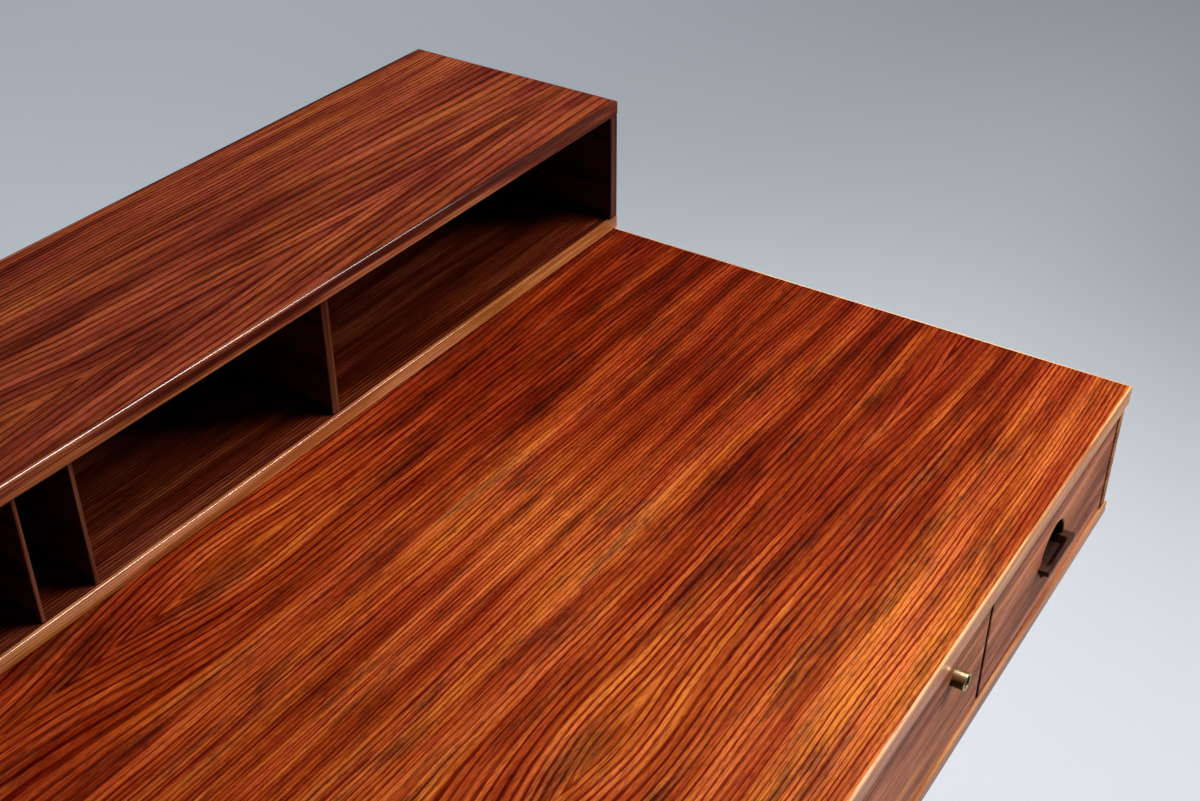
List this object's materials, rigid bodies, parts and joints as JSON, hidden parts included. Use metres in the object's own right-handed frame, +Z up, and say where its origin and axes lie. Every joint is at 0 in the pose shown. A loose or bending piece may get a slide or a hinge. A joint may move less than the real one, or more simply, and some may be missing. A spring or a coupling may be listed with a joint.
{
  "type": "partners desk",
  "caption": "Rosewood partners desk with drawers on one side and a pigeonhole unit that flips over its back edge to widen the top.",
  "frame": {"origin": "on the floor, under the middle of the desk's bounding box", "axes": "+X to the sitter's right along the length, +Y from the drawers to the pigeonhole unit, +Z up"},
  "size_m": [1.6, 0.7858, 0.864],
  "materials": {
    "rosewood": "satin lacquered rosewood",
    "rosewood_face": "satin rosewood, paler",
    "rosewood_dark": "oiled dark rosewood",
    "drawer_wood": "plain pale hardwood",
    "brass": "polished brass"
  },
  "bodies": {
    "desk": {"desk_top": "rosewood", "case_bottom": "rosewood_face", "end_panel_left": "rosewood_face", "end_panel_right": "rosewood_face", "back_panel": "rosewood_face", "partition_left": "drawer_wood", "partition_centre": "drawer_wood", "partition_right": "drawer_wood", "drawer_stop_rail": "drawer_wood", "leg_front_left": "rosewood_dark", "leg_front_right": "rosewood_dark", "leg_rear_left": "rosewood_dark", "leg_rear_right": "rosewood_dark", "cross_rail_left": "rosewood_dark", "cross_rail_right": "rosewood_dark", "stretcher": "rosewood_dark", "hinge_leaf_desk": "brass", "hinge_pin": "brass"},
    "hutch": {"hutch_top": "rosewood", "hutch_floor": "rosewood", "hutch_end_left": "rosewood", "hutch_end_right": "rosewood", "hutch_back": "rosewood", "hutch_divider_left": "rosewood", "hutch_divider_right": "rosewood", "slot_divider_1": "rosewood", "slot_divider_2": "rosewood", "slot_divider_3": "rosewood", "slot_divider_4": "rosewood", "slot_divider_5": "rosewood", "slot_divider_6": "rosewood", "hinge_leaf_hutch": "brass"},
    "drawer_end_left": {"drawer_end_left_front": "rosewood_face", "drawer_end_left_side_left": "drawer_wood", "drawer_end_left_side_right": "drawer_wood", "drawer_end_left_back": "drawer_wood", "drawer_end_left_bottom": "drawer_wood", "drawer_end_left_pull": "rosewood_dark"},
    "drawer_mid_left": {"drawer_mid_left_front": "rosewood_face", "drawer_mid_left_side_left": "drawer_wood", "drawer_mid_left_side_right": "drawer_wood", "drawer_mid_left_back": "drawer_wood", "drawer_mid_left_bottom": "drawer_wood", "drawer_mid_left_pull": "rosewood_dark"},
    "drawer_mid_right": {"drawer_mid_right_front": "rosewood_face", "drawer_mid_right_side_left": "drawer_wood", "drawer_mid_right_side_right": "drawer_wood", "drawer_mid_right_back": "drawer_wood", "drawer_mid_right_bottom": "drawer_wood", "drawer_mid_right_pull": "rosewood_dark"},
    "drawer_end_right": {"drawer_end_right_front": "rosewood_face", "drawer_end_right_side_left": "drawer_wood", "drawer_end_right_side_right": "drawer_wood", "drawer_end_right_back": "drawer_wood", "drawer_end_right_bottom": "drawer_wood", "drawer_end_right_pull": "rosewood_dark"},
    "lock_push_left": {"lock_barrel_left": "brass"},
    "lock_throw_left": {"lock_bolt_left": "brass"},
    "lock_push_right": {"lock_barrel_right": "brass"},
    "lock_throw_right": {"lock_bolt_right": "brass"}
  },
  "joints": [
    {"name": "hutch_flip", "type": "hinge", "parent": "desk", "child": "hutch", "pos_m": [0, 0.3903, 0.72525], "axis": [-1, 0, 0], "range_deg": [0, 180]},
    {"name": "drawer_end_left_slide", "type": "slide", "parent": "desk", "child": "drawer_end_left", "axis": [0, -1, 0], "range_m": [0, 0.42]},
    {"name": "drawer_mid_left_slide", "type": "slide", "parent": "desk", "child": "drawer_mid_left", "axis": [0, -1, 0], "range_m": [0, 0.42]},
    {"name": "drawer_mid_right_slide", "type": "slide", "parent": "desk", "child": "drawer_mid_right", "axis": [0, -1, 0], "range_m": [0, 0.42]},
    {"name": "drawer_end_right_slide", "type": "slide", "parent": "desk", "child": "drawer_end_right", "axis": [0, -1, 0], "range_m": [0, 0.42]},
    {"name": "lock_left_push", "type": "slide", "parent": "drawer_mid_left", "child": "lock_push_left", "axis": [0, 1, 0], "range_m": [0, 0.008]},
    {"name": "lock_left_throw", "type": "slide", "parent": "drawer_mid_left", "child": "lock_throw_left", "axis": [0, 0, 1], "range_m": [0, 0.008]},
    {"name": "lock_right_push", "type": "slide", "parent": "drawer_mid_right", "child": "lock_push_right", "axis": [0, 1, 0], "range_m": [0, 0.008]},
    {"name": "lock_right_throw", "type": "slide", "parent": "drawer_mid_right", "child": "lock_throw_right", "axis": [0, 0, 1], "range_m": [0, 0.008]}
  ],
  "couplings": [
    {"joint": "lock_left_throw", "follows": "lock_left_push", "ratio": 1},
    {"joint": "lock_right_throw", "follows": "lock_right_push", "ratio": 1}
  ]
}
